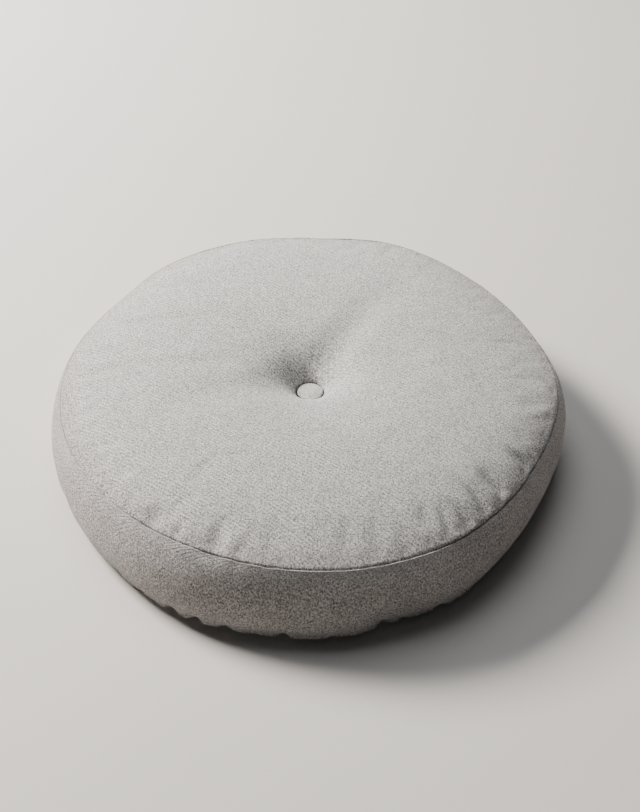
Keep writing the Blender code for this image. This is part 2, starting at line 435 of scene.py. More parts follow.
    def _weave(
        self, tree: Tree, counted: Socket, nap: Socket, painted_shade: Socket
    ) -> tuple[Socket, Socket]:
        """Crosses the yarns over and under each other, and gathers them in ribs.

        Args:
            tree: the material's node tree.
            counted: the running counts of warp and weft.
            nap: the nap's patches, high where it is thin enough for the ribs to show.
            painted_shade: how much painted shade lies there; the ribs are hidden there too.

        Returns:
            1 where the warp lies over the weft and 0 where it lies under, and the cloth's height.
        """
        add = partial(add_node, tree)
        counts = add("SeparateXYZ", (counted,)).node.outputs
        waves, crowns, ribs = [], [], []
        for direction in ("X", "Y"):
            phase = add("Math", (counts[direction], math.pi), operation="MULTIPLY")
            waves.append(add("Math", (phase,), operation="SINE"))
            size = add("Math", (waves[-1],), operation="ABSOLUTE")
            crowns.append(add("Math", (size, self.yarn_power), operation="POWER"))
            slow = add("Math", (phase, self.rib_yarns), operation="DIVIDE")
            slow = add("Math", (slow,), operation="SINE")
            ribs.append(add("Math", (slow,), operation="ABSOLUTE"))
        crossing = add("Math", waves, operation="MULTIPLY")
        change = {"Value": crossing, "From Min": -self.crossing, "From Max": self.crossing}
        over = add("MapRange", change, interpolation_type="SMOOTHSTEP")
        upper = {"Factor": over, "A": crowns[1], "B": crowns[0]}
        yarns = add("Mix", upper, data_type="FLOAT")
        ribbed = add("Math", (ribs[0], self.cross_rib, ribs[1]), operation="MULTIPLY_ADD")
        # The mean of a sine's size, taken off so that ribs leave the cloth's mean height as it is.
        mean = (1 + self.cross_rib) * 2 / math.pi
        ribbed = add("Math", (ribbed, mean), operation="SUBTRACT")
        least, full = self.rib_nap
        bared = {"Value": nap, "From Min": least, "From Max": full, "To Min": self.least_rib}
        shown = add("Math", (add("MapRange", bared), self.rib_relief), operation="MULTIPLY")
        clear = add("Math", (painted_shade, -self.rib_hidden, 1.0), operation="MULTIPLY_ADD")
        shown = add("Math", (shown, clear), operation="MULTIPLY")
        return over, add("Math", (ribbed, shown, yarns), operation="MULTIPLY_ADD")

    def _colour(
        self,
        tree: Tree,
        counted: Socket,
        over: Socket,
        weave: Socket,
        fuzz: Socket,
        nap: Socket,
        painted_shade: Socket,
    ) -> Socket:
        """Shades each yarn from its mixed fibres.

        Args:
            tree: the material's node tree.
            counted: the running counts of warp and weft.
            over: where the warp lies over the weft.
            weave: the cloth's height, from which shade is painted into the gaps between yarns.
            fuzz: the brushed fibre over the weave.
            nap: the nap's patches.
            painted_shade: how much painted shade lies there.

        Returns:
            The cloth's colour.
        """
        add = partial(add_node, tree)
        along, mixes = 1 / self.slub, []
        for stretch, draw in (((1.0, along, 1.0), 0.0), ((along, 1.0, 1.0), self.weft_draw)):
            streaks = (counted, stretch, (0.0, 0.0, draw))
            streaks = add("VectorMath", streaks, operation="MULTIPLY_ADD")
            fibres = {"Vector": streaks, "Scale": self.fibre_scale, "Detail": 1.0}
            mixes.append(add("TexNoise", fibres))
        shade = add("Mix", {"Factor": over, "A": mixes[1], "B": mixes[0]}, data_type="FLOAT")
        crossings = add("VectorMath", (counted,), operation="FLOOR")
        fleck = add("TexWhiteNoise", (crossings,), noise_dimensions="3D")
        # The last of these paints shade into the gaps between yarns, from the weave's height.
        for change, mean, strength in (
            (fleck, self.mean_noise, self.fleck),
            (fuzz, self.mean_noise, self.fuzz),
            (weave, self.mean_height, self.rib_painted_shade),
        ):
            change = add("Math", (change, mean), operation="SUBTRACT")
            shade = add("Math", (change, strength, shade), operation="MULTIPLY_ADD")
        ramp = add("ValToRGB", (shade,))
        elements = ramp.node.color_ramp.elements
        for stop in self.shade_stops[1:-1]:
            elements.new(stop)
        for element, stop, colour in zip(elements, self.shade_stops, self.shades):
            element.position = stop
            element.color = linear(colour)
        dark, light = self.cloud_nap
        clouds = {"Value": nap, "From Min": dark, "From Max": light}
        clouds |= {"To Min": 1 - self.cloud, "To Max": 1 + self.cloud}
        clouded = {"Vector": ramp, "Scale": add("MapRange", clouds)}
        clouded = add("VectorMath", clouded, operation="SCALE")
        # In a Mix of vectors, inputs 4 and 5 are the two vectors and output 1 is the result.
        # Painted shade: the colour is darkened and warmed by the tint where the cover says so.
        tint = {"Factor": painted_shade, 4: (1.0, 1.0, 1.0), 5: linear(self.painted_shade_tint)[:3]}
        tint = add("Mix", tint, 1, data_type="VECTOR")
        return add("VectorMath", (clouded, tint), operation="MULTIPLY")


@dataclass(frozen=True)
class PalePlaster:
    """Smooth troweled plaster for the studio floor, pale and without shine.

    Attributes:
        name: the material's name.
        colour: its sRGB colour.
        patch_mm: the width of the faint patches that troweling leaves.
        patches: how much they change the colour, as a share.
        roughness: fine plaster scatters light evenly.
    """

    name: str = "pale_plaster"
    colour: str = "#cfccc8"
    patch_mm: float = 400.0
    patches: float = 0.03
    roughness: float = 0.85

    def material(self) -> bpy.types.Material:
        """Builds the floor's material.

        Returns:
            The material.
        """
        material = bpy.data.materials.new(self.name)
        add = partial(add_node, empty_tree(material))
        place = add("TexCoord", output="Object")
        noise = {"Vector": place, "Scale": 1 / (self.patch_mm * MILLIMETRE), "Detail": 2.0}
        level = {"Value": add("TexNoise", noise)}
        level |= {"To Min": 1 - self.patches, "To Max": 1 + self.patches}
        shade = {"Vector": linear(self.colour)[:3], "Scale": add("MapRange", level)}
        shade = add("VectorMath", shade, operation="SCALE")
        shader = add("BsdfPrincipled", {"Base Color": shade, "Roughness": self.roughness})
        add("OutputMaterial", {"Surface": shader})
        return material


# The cover's cloth: a warm light grey heather. The band is painted darker and a little browner,
# as painted shade with a warm tint, which also lies along the seams and creases.
COVER_CLOTH = WovenCloth(
    name="brushed_woven_cloth",
    shades=("#747372", "#a4a3a1", "#c0bfbd", "#eae9e7"),
)

# The same cloth pulled tight over a button: flatter yarns and hardly any patches.
BUTTON_CLOTH = WovenCloth(
    name="stretched_woven_cloth",
    shades=("#959290", "#b1afad", "#c2c0be", "#d8d6d4"),
    yarn_mm=1.4,
    depth_mm=0.25,
    cloud=0.02,
)


# ---------------------------------------------------------------- the filled form


@dataclass(frozen=True)
class RimPoint:
    """How the cushion departs from round at one azimuth, from +X towards +Y; lengths in mm.

    Attributes:
        azimuth: the place, in degrees.
        seam_radius: the top seam's radius.
        seam_height: the top seam's height.
        swell: how far the top panel swells up inside its seam.
        roll: how far in the panel's roll down to its seam reaches.
        bulge: how far the band stands out between its seams.
        foot_radius: the bottom seam's radius.
    """

    azimuth: float
    seam_radius: float
    seam_height: float
    swell: float
    roll: float
    bulge: float
    foot_radius: float


@dataclass(frozen=True)
class Fold:
    """A long soft fold of the top panel, straight from a first point to a last one.

    Attributes:
        from_azimuth: where it sets in, in degrees.
        from_radius: the same, in mm from the tuft.
        to_azimuth: where it runs out, in degrees.
        to_radius: the same, in mm from the tuft.
        half_width: in mm.
        depth: in mm, near its first point. A ridge has a depth below 0.
    """

    from_azimuth: float
    from_radius: float
    to_azimuth: float
    to_radius: float
    half_width: float
    depth: float


@dataclass(frozen=True)
class Gather:
    """Slack cloth drawn in to a seam, as a short groove across it.

    Attributes:
        azimuth: in degrees.
        half_width: in degrees.
        depth: in mm, at the seam.
        reach: in mm, how far it runs from the seam.
    """

    azimuth: float
    half_width: float
    depth: float
    reach: float


RIM = tuple(
    RimPoint(*row)
    for row in (
        (0, 274, 87, 3.0, 6, 11, 273), (22, 268, 88, 5.5, 24, 8, 269),
        (45, 273, 87, 6.0, 26, 9, 274), (70, 285, 87, 3.0, 12, 8, 281),
        (88, 280, 86, 0.5, 4, 9, 279), (106, 285, 87, 2.0, 5, 9, 282),
        (128, 283, 88, 6.0, 18, 9, 280), (145, 273, 87, 8.0, 26, 10, 276),
        (165, 276, 86, 7.0, 26, 10, 281), (185, 277, 86, 4.0, 26, 10, 284),
        (205, 277, 86, 3.2, 12, 11, 284), (225, 277, 86, 4.5, 4, 12, 290),
        (245, 278, 86, 5.2, 4, 12, 300), (262, 281, 85, 4.6, 4, 10, 300),
        (278, 284, 85, 4.4, 4, 10, 299), (286, 284, 85, 4.4, 4, 10, 291),
        (300, 283, 85, 6.8, 4, 11, 289), (318, 276, 86, 9.6, 4, 12, 273),
        (335, 271, 87, 8.4, 4, 11, 267),
    )
)

FOLDS = (
    Fold(62, 15, 57, 240, 34, 6.5),
    Fold(205, 15, 203, 215, 32, 3.5),
    Fold(316, 170, 318, 274, 16, 2.2),
    Fold(236, 180, 238, 272, 18, 2.0),
    Fold(20, 120, 12, 262, 26, 1.6),
)

# Shallow creases, which show mostly by the painted shade along them.
CREASES = (
    Fold(160, 255, 108, 99, 12, 1.8),
    Fold(179, 261, 164, 47, 14, 1.5),
    Fold(140, 248, 118, 180, 12, 1.4),
)

# Larger gathers of the band at the bottom seam, which its foot swells out between.
FOOT_GATHERS = tuple(
    Gather(*row)
    for row in (
        (238, 4.0, 3.0, 40), (246, 3.5, 4.5, 32), (262, 4.0, 4.0, 36),
        (284, 4.5, 5.0, 45), (305, 5.0, 2.5, 54), (203, 5.0, 2.5, 54),
        (150, 6.0, 3.0, 63), (100, 5.0, 2.5, 45), (52, 6.0, 3.0, 54),
        (8, 5.0, 3.5, 63),
    )
)


@dataclass(frozen=True)
class SeamPoint:
    """How the top seam is drawn at one azimuth; lengths in mm.

    Attributes:
        azimuth: the place, in degrees.
        groove: how deep the seam line lies between the two cloths.
        ridge: how far the turned-in edges push the band up beside the seam.
    """

    azimuth: float
    groove: float
    ridge: float


SEAM = tuple(
    SeamPoint(*row)
    for row in (
        (0, 1.3, 0.1), (22, 0.8, 0.0), (62, 0.8, 0.0), (76, 1.0, 0.6),
        (90, 1.2, 1.0), (105, 0.9, 0.7), (118, 0.7, 0.3), (130, 0.5, 0.0),
        (150, 0.2, 0.0), (192, 0.2, 0.0), (201, 0.1, 0.7), (212, 0.3, 1.3),
        (224, 0.7, 1.4), (236, 1.0, 1.3), (265, 1.4, 1.2), (288, 1.5, 1.1),
        (297, 1.6, 0.9), (302, 1.6, 0.0), (330, 1.7, 0.0), (345, 1.6, 0.0),
    )
)


def around(table: tuple, column: str, azimuth: np.ndarray) -> np.ndarray:
    """Reads one column of a table that goes round the cushion, by a smooth curve through it.

    Args:
        table: RIM or SEAM.
        column: the name of a length.
        azimuth: in degrees.

    Returns:
        The lengths, in metres.
    """
    places = np.array([point.azimuth for point in table], float)
    lengths = np.array([getattr(point, column) for point in table], float)
    places = np.concatenate([places[-2:] - FULL_TURN, places, places[:2] + FULL_TURN])
    lengths = np.concatenate([lengths[-2:], lengths, lengths[:2]])
    slopes = np.gradient(lengths, places)
    slopes[1:-1] = (lengths[2:] - lengths[:-2]) / (places[2:] - places[:-2])
    place = np.asarray(azimuth, float) % FULL_TURN
    last = np.searchsorted(places, place, side="right") - 1
    span = places[last + 1] - places[last]
    share = (place - places[last]) / span
    ends = (lengths[last], lengths[last + 1])
    return curve_between(share, ends, (slopes[last], slopes[last + 1]), span) * MILLIMETRE


@dataclass(frozen=True)
class FilledForm:
    """The cushion's large form: where each point of the cut cover lies once it is filled.

    Attributes:
        cut_radius: radius of the two round panels as cut.
        cut_height: height of the band as cut.
        seam_height: mean height of the top seam.
        crown_rise: how far the crown stands over the top seam.
        crown_fullness: how flat the crown is in the middle, as a power.
        outline_power: how fast the outline's unevenness dies away inwards, as a power.
        height_power: the same for the seam's height.
        fold_power: how close to the seam long folds run out, as a power.
        fold_onset: how much of a long fold's run it takes to set in, as a share.
        edge_roll: how far the top panel rolls down into its seam.
        swell_spread: how far in from the seam the panel's swelling takes to rise.
        swell_reach: how far in it fades.
        tuft_depth: how far the button pulls the crown down.
        tuft_spread: how wide that pull is.
        tuft_shift: where the tuft lies in plan, from the middle of the seams.
        well_radius: radius of the close well that the button lies in.
        well_lip: depth of the well below the cloth round it.
        well_lip_spread: how softly the cloth turns into the well.
        bulge_power: how steeply the band leaves its seams, as a power.
        shoulder_roll: how far the band rises over its seam, as a share of the seam's ridge.
        shoulder_spread: how far out that rise reaches.
        shoulder_reach: share of the band that carries it.
        foot_height: height of the bottom seam.
        flat_share: share of the bottom panel's radius that lies flat.
    """

    cut_radius: float = 0.280
    cut_height: float = 0.086
    seam_height: float = 0.086
    crown_rise: float = 0.032
    crown_fullness: float = 2.6
    outline_power: int = 2
    height_power: int = 4
    fold_power: int = 6
    fold_onset: float = 0.15
    edge_roll: float = 0.0045
    swell_spread: float = 0.022
    swell_reach: float = 0.090
    tuft_depth: float = 0.0385
    tuft_spread: float = 0.031
    tuft_shift: tuple[float, float] = (-0.0013, -0.0102)
    well_radius: float = 0.0150
    well_lip: float = 0.0048
    well_lip_spread: float = 0.0009
    bulge_power: float = 1.4
    shoulder_roll: float = 1.3
    shoulder_spread: float = 0.0025
    shoulder_reach: float = 1 / 3
    foot_height: float = 0.009
    flat_share: float = 0.84

    def well_floor(self) -> float:
        """Height of the flat floor of the button's well."""
        crown = self.seam_height + self.crown_rise + self.edge_roll
        return crown - self.tuft_depth - self.well_lip

    def place(self, panel: Panel, share: float, azimuth: np.ndarray) -> np.ndarray:
        """Where one ring of the cover lies.

        Args:
            panel: the cut piece that the ring is on.
            share: the ring's place: out from a round panel's middle, or down the band.
            azimuth: in degrees, one for each point of the ring.

        Returns:
            The ring's points, round the middle of the seams.
        """
        across, along = 0.0, 0.0
        if panel is Panel.TOP:
            radius, height = self._top(azimuth, share)
            across, along = np.array(self.tuft_shift) * (1 - ease(share))
        elif panel is Panel.BAND:
            radius, height = self._band(azimuth, share)
        else:
            radius, height = self._bottom(azimuth, share)
        angle = np.radians(azimuth)
        plan = (across + radius * np.cos(angle), along + radius * np.sin(angle))
        return np.stack([*plan, height], axis=1)

    def _top(self, azimuth: np.ndarray, share: float) -> tuple[np.ndarray, np.ndarray]:
        """Lays one ring of the top panel over the filling.

        Args:
            azimuth: in degrees, for each point of the ring.
            share: the ring's share of the way out to the seam.

        Returns:
            The radius and the height of each point.
        """
        seam_radius = around(RIM, "seam_radius", azimuth)
        seam_height = around(RIM, "seam_height", azimuth)
        wider = (seam_radius - self.cut_radius) * share**self.outline_power
        radius = share * (self.cut_radius + wider)
        height = self.seam_height + (seam_height - self.seam_height) * share**self.height_power
        height = height + self.crown_rise * (1 - share**self.crown_fullness)
        from_seam = seam_radius - radius
        height = height + self.edge_roll * settled(from_seam, around(RIM, "roll", azimuth))
        swell = around(RIM, "swell", azimuth) * settled(from_seam, self.swell_spread)
        height = height + swell * np.exp(-from_seam / self.swell_reach) * share
        from_well = radius - self.well_radius
        height = height - self.tuft_depth * (1 - settled(from_well, self.tuft_spread))
        height = height - self.well_lip * (1 - settled(from_well, self.well_lip_spread))
        folds = self.fold_depth(FOLDS + CREASES, azimuth, radius)
        folds = folds * (1 - share**self.fold_power)
        return radius, height - np.where(from_well > 0, folds, 0.0)

    def fold_depth(
        self, folds: tuple[Fold, ...], azimuth: np.ndarray, radius: np.ndarray | float
    ) -> np.ndarray:
        """How far long folds lower the top panel.

        Args:
            folds: FOLDS, CREASES or both.
            azimuth: in degrees, for each point of a ring.
            radius: the points' distance from the tuft.

        Returns:
            Depths, in metres.
        """
        angle = np.radians(azimuth)
        plan = np.stack([radius * np.cos(angle), radius * np.sin(angle)], axis=1)
        depth = np.zeros(len(azimuth))
        for fold in folds:
            ends = []
            for end_azimuth, end_radius in (
                (fold.from_azimuth, fold.from_radius),
                (fold.to_azimuth, fold.to_radius),
            ):
                end = math.radians(end_azimuth)
                ends.append(np.array([math.cos(end), math.sin(end)]) * end_radius * MILLIMETRE)
            run = ends[1] - ends[0]
            along = (plan - ends[0]) @ run / (run @ run)
            aside = np.linalg.norm(plan - ends[0] - along[:, None] * run, axis=1)
            fade = ease(along / self.fold_onset) * (1 - along) * ((along > 0) & (along < 1))
            across = bell(aside / (fold.half_width * MILLIMETRE))
            depth = depth + fold.depth * MILLIMETRE * across * fade
        return depth

    def _band(self, azimuth: np.ndarray, share: float) -> tuple[np.ndarray, np.ndarray]:
        """Lays one ring of the side band round the filling.

        Args:
            azimuth: in degrees, for each point of the ring.
            share: the ring's share of the way down.

        Returns:
            The radius and the height of each point.
        """
        seam_radius = around(RIM, "seam_radius", azimuth)
        seam_height = around(RIM, "seam_height", azimuth)
        foot_radius = around(RIM, "foot_radius", azimuth)
        bulge = around(RIM, "bulge", azimuth)
        angle = math.pi * (0.5 - share)
        outward = abs(math.cos(angle)) ** self.bulge_power
        middle = (seam_height + self.foot_height) / 2
        height = middle + (seam_height - middle) * math.sin(angle)
        lean = (seam_height - height) / (seam_height - self.foot_height)
        radius = seam_radius + (foot_radius - seam_radius) * lean + bulge * outward
        for gather in FOOT_GATHERS:
            climb = (1 - share) * self.cut_height / (gather.reach * MILLIMETRE)
            across = bell(turn_between(azimuth, gather.azimuth) / gather.half_width)
            radius = radius - gather.depth * MILLIMETRE * across * ease(1 - climb) * outward
        rise = self.shoulder_roll * around(SEAM, "ridge", azimuth)
        rise = rise * settled(radius - seam_radius, self.shoulder_spread)
        return radius, height + rise * (1 - ease(share / self.shoulder_reach))

    def _bottom(self, azimuth: np.ndarray, share: float) -> tuple[np.ndarray, np.ndarray]:
        """Lays one ring of the bottom panel under the filling.

        Args:
            azimuth: in degrees, for each point of the ring.
            share: the ring's share of the way out to the seam.

        Returns:
            The radius and the height of each point.
        """
        foot_radius = around(RIM, "foot_radius", azimuth)
        wider = (foot_radius - self.cut_radius) * share**self.outline_power
        radius = share * (self.cut_radius + wider)
        rise = max(share - self.flat_share, 0) / (1 - self.flat_share)
        return radius, np.full(len(azimuth), self.foot_height * rise**2)


# ---------------------------------------------------------------- settling the cloth


@dataclass(frozen=True)
class Settling:
    """One run of Blender's cloth on the filled form, kept only for the slack that it gathers.

    Attributes:
        steps: points round a ring.
        top_rings: rings over the top panel, from the well to the seam.
        band_rings: rings down the band.
        bottom_rings: rings in from the bottom seam to the flat.
        frames: how long the cloth moves.
        pressure: how hard the filling presses out.
        growth: how much too large the cloth is beside the seams, as a share.
        cap: how far a point may move from the filled form.
        seam_hold: how far from a seam its stitches hold the cloth.
        slack_reach: how far from a seam the cloth is too large.
        still_radius: how far from the tuft the top panel is held still.
        still_fade: how much further it takes to come free.
        flat_fade: share of the bottom panel's radius that it takes to come free of the flat.
    """

    steps: int = 240
    top_rings: int = 44
    band_rings: int = 16
    bottom_rings: int = 10
    frames: int = 20
    pressure: float = 4.0
    growth: float = 0.015
    cap: float = 0.003
    seam_hold: float = 0.003
    slack_reach: float = 0.03
    still_radius: float = 0.05
    still_fade: float = 0.06
    flat_fade: float = 0.10

    def rings(self, form: FilledForm) -> list[Ring]:
        """Lists the rings that move, from the well's edge round to the bottom panel's flat.

        Args:
            form: the filled form.

        Returns:
            The rings in order.
        """
        inner = form.well_radius / form.cut_radius
        runs = (
            (Panel.TOP, np.linspace(inner, 1, self.top_rings + 1)[:-1]),
            (Panel.BAND, np.linspace(0, 1, self.band_rings + 1)[:-1]),
            (Panel.BOTTOM, np.linspace(1, form.flat_share, self.bottom_rings + 1)),
        )
        return [(panel, float(share)) for panel, shares in runs for share in shares]

    def row(self, form: FilledForm, panel: Panel, share: float) -> float:
        """Finds a place on the cover among this run's rings.

        Args:
            form: the filled form.
            panel: the cut piece that the place is on.
            share: the place's share of the way out or down.

        Returns:
            The number of its ring, between two of them as a fraction.
        """
        inner = form.well_radius / form.cut_radius
        if panel is Panel.TOP:
            return max(share - inner, 0.0) / (1 - inner) * self.top_rings
        if panel is Panel.BAND:
            return self.top_rings + share * self.band_rings
        into = min((1 - share) / (1 - form.flat_share), 1.0)
        return self.top_rings + self.band_rings + into * self.bottom_rings

    def slack(self, form: FilledForm) -> np.ndarray:
        """Runs the cloth and reads how far each of its points has moved.

        Args:
            form: the filled form that the cloth starts from.

        Returns: Moves by ring, by step round the ring, and by coordinate.
        """
        rings = self.rings(form)
        azimuth = np.arange(self.steps) * FULL_TURN / self.steps
        start = np.stack([form.place(panel, share, azimuth) for panel, share in rings])
        mesh = closed_mesh("settling", start, start[0].mean(axis=0), start[-1].mean(axis=0))
        cloth = linked_object("settling", mesh)
        self._hold(cloth, form, rings)
        self._add_cloth(cloth)
        scene = bpy.context.scene
        for moment in range(1, self.frames + 1):
            scene.frame_set(moment)
        graph = bpy.context.evaluated_depsgraph_get()
        ended = cloth.evaluated_get(graph).to_mesh()
        places = np.empty(len(ended.vertices) * 3, np.float32)
        ended.vertices.foreach_get("co", places)
        bpy.data.objects.remove(cloth)
        scene.frame_set(1)
        moves = places.reshape(-1, 3)[: start.shape[0] * self.steps].reshape(start.shape) - start
        length = np.linalg.norm(moves, axis=2, keepdims=True)
        log.info("cloth moved %.1f mm at most before its cap", length.max() / MILLIMETRE)
        return moves * self.cap * np.tanh(length / self.cap) / np.maximum(length, TINY)

    def _hold(self, cloth: bpy.types.Object, form: FilledForm, rings: list[Ring]) -> None:
        """Pins the tuft, the seams and the flat, and says where the cloth has slack.

        Args:
            cloth: the object that will move.
            form: the filled form.
            rings: the object's rings.
        """
        held = cloth.vertex_groups.new(name="held")
        loose = cloth.vertex_groups.new(name="loose")
        for number, (panel, share) in enumerate(rings):
            from_seam = self._seam_distance(form, panel, share)
            pin = float(np.exp(-from_seam / self.seam_hold))
            if panel is Panel.TOP:
                freed = (share * form.cut_radius - self.still_radius) / self.still_fade
                pin = max(pin, 1 - float(ease(freed)))
            if panel is Panel.BOTTOM:
                freed = (share - form.flat_share) / self.flat_fade
                pin = max(pin, 1 - float(ease(freed)))
            slack = float(np.exp(-from_seam / self.slack_reach))
            first = number * self.steps
            ring = list(range(first, first + self.steps))
            held.add(ring, pin, "REPLACE")
            loose.add(ring, slack, "REPLACE")
        last = len(rings) * self.steps
        held.add([last, last + 1], 1.0, "REPLACE")

    def _seam_distance(self, form: FilledForm, panel: Panel, share: float) -> float:
        """Measures how far a ring is from the nearer seam, along the cut cloth.

        Args:
            form: the filled form.
            panel: the cut piece that the ring is on.
            share: the ring's share of the way out or down.

        Returns:
            The distance.
        """
        if panel is Panel.BAND:
            return min(share, 1 - share) * form.cut_height
        return (1 - share) * form.cut_radius

    def _add_cloth(self, cloth: bpy.types.Object) -> None:
        """Makes the object move as cloth that is filled and has no weight.

        Args:
            cloth: the object, with its groups of held and loose points.
        """
        modifier = cloth.modifiers.new("filled cloth", "CLOTH")
        # Upholstery cloth: it bends easily, hardly stretches and shears a little more.
        settings = {
            "quality": 6,
            "mass": 0.15,
            "tension_stiffness": 25,
            "compression_stiffness": 25,
            "shear_stiffness": 12,
            "bending_stiffness": 0.8,
            "use_pressure": True,
            "uniform_pressure_force": self.pressure,
            "vertex_group_mass": "held",
            "pin_stiffness": 1.0,
            "vertex_group_shrink": "loose",
            "shrink_min": 0.0,
            "shrink_max": -self.growth,
        }
        for name, value in settings.items():
            setattr(modifier.settings, name, value)
        modifier.settings.effector_weights.gravity = 0.0
        modifier.collision_settings.use_collision = False


# ---------------------------------------------------------------- the sewn cover


# Short gathers of the top panel into its seam.
TOP_PUCKERS = tuple(
    Gather(*row)
    for row in (
        (301.0, 1.9, 2.0, 44), (305.6, 1.8, 2.8, 50), (311.4, 2.3, 4.1, 56),
        (317.6, 2.5, 4.3, 56), (328.6, 2.3, 3.8, 42), (333.5, 1.4, 1.8, 28),
        (219.0, 3.0, 1.8, 30), (226.5, 1.5, 1.2, 26), (234.2, 3.8, 3.4, 38),
        (240.6, 1.4, 1.5, 32), (249.4, 3.6, 3.8, 38), (255.0, 1.6, 1.2, 28),
        (261.0, 2.4, 1.0, 26), (16.0, 1.4, 0.9, 30), (61.0, 1.6, 0.9, 34),
        (97.0, 1.8, 1.0, 36), (140.0, 1.6, 0.9, 34), (172.0, 1.6, 0.8, 30),
        (196.0, 1.3, 0.7, 26),
    )
)

# Notches in the cushion's foot, where the bottom seam draws the band in.
FOOT_NOTCHES = tuple(
    Gather(*row)
    for row in (
        (215.0, 2.6, 2.2, 20), (226.2, 3.0, 3.0, 22), (234.0, 2.4, 1.8, 18),
        (241.6, 3.0, 4.6, 28), (247.2, 2.8, 4.8, 26), (253.4, 3.0, 4.4, 26),
        (259.1, 2.2, 2.2, 16), (264.7, 2.8, 4.6, 22), (274.4, 2.4, 2.4, 16),
        (284.4, 2.2, 4.8, 24), (288.8, 2.2, 2.4, 18), (297.0, 2.8, 3.0, 22),
        (311.0, 2.8, 2.8, 22), (326.0, 3.0, 2.6, 24), (342.0, 2.8, 2.6, 22),
        (3.0, 3.2, 3.2, 26), (34.0, 3.0, 2.8, 24), (58.0, 3.0, 3.2, 24),
        (84.0, 3.0, 2.8, 24), (112.0, 3.0, 3.2, 24), (135.0, 3.0, 2.8, 24),
        (160.0, 3.0, 3.2, 24), (181.0, 3.0, 2.6, 22), (206.0, 2.8, 3.0, 22),
    )
)


@dataclass(frozen=True)
class Wandering:
    """A seeded, gentle unevenness that runs round the cushion and closes on itself.

    Attributes:
        seed: starts the draw of its phases.
        amplitude: of the whole, in metres or as an angle in radians.
        fewest: the fewest waves in one turn.
        most: the most waves in one turn.
        parts: how many waves are laid over each other.
    """

    seed: int
    amplitude: float
    fewest: int
    most: int
    parts: int = 7

    def at(self, azimuth: np.ndarray) -> np.ndarray:
        """Reads the unevenness round the cushion.

        Args:
            azimuth: in degrees.

        Returns:
            The unevenness at each, in the amplitude's own measure.
        """
        draw = np.random.default_rng(self.seed)
        counts = draw.integers(self.fewest, self.most, self.parts)
        phases = draw.uniform(0, 2 * np.pi, self.parts)
        angle = np.radians(azimuth)
        waves = sum(np.sin(count * angle + phase) for count, phase in zip(counts, phases))
        return self.amplitude * waves / math.sqrt(self.parts)


@dataclass(frozen=True)
class Lumps:
    """The filling's soft lumps, seeded, as they show through a panel.

    Attributes:
        seed: starts the draw of the waves that make them.
        height: how far they stand out, as a root mean square.
        finest: the shortest wave.
        broadest: the longest wave.
        parts: how many waves are laid over each other.
    """

    seed: int = 23
    height: float = 0.00012
    finest: float = 0.013
    broadest: float = 0.045
    parts: int = 40

    def at(self, across: np.ndarray, along: np.ndarray) -> np.ndarray:
        """Reads the lumps' height at places on the flat-cut cloth.

        Args:
            across: the places' first coordinate.
            along: their second one.

        Returns:
            Heights, above and below 0.
        """
        draw = np.random.default_rng(self.seed)
        lengths = draw.uniform(self.finest, self.broadest, self.parts)
        turns = draw.uniform(0, 2 * np.pi, self.parts)
        phases = draw.uniform(0, 2 * np.pi, self.parts)
        total = np.zeros(np.broadcast(across, along).shape)
        for length, turn, phase in zip(lengths, turns, phases):
            way = across * math.cos(turn) + along * math.sin(turn)
            total = total + length * np.sin(2 * np.pi * way / length + phase)
        return self.height * math.sqrt(2 / self.parts) * total / lengths.mean()


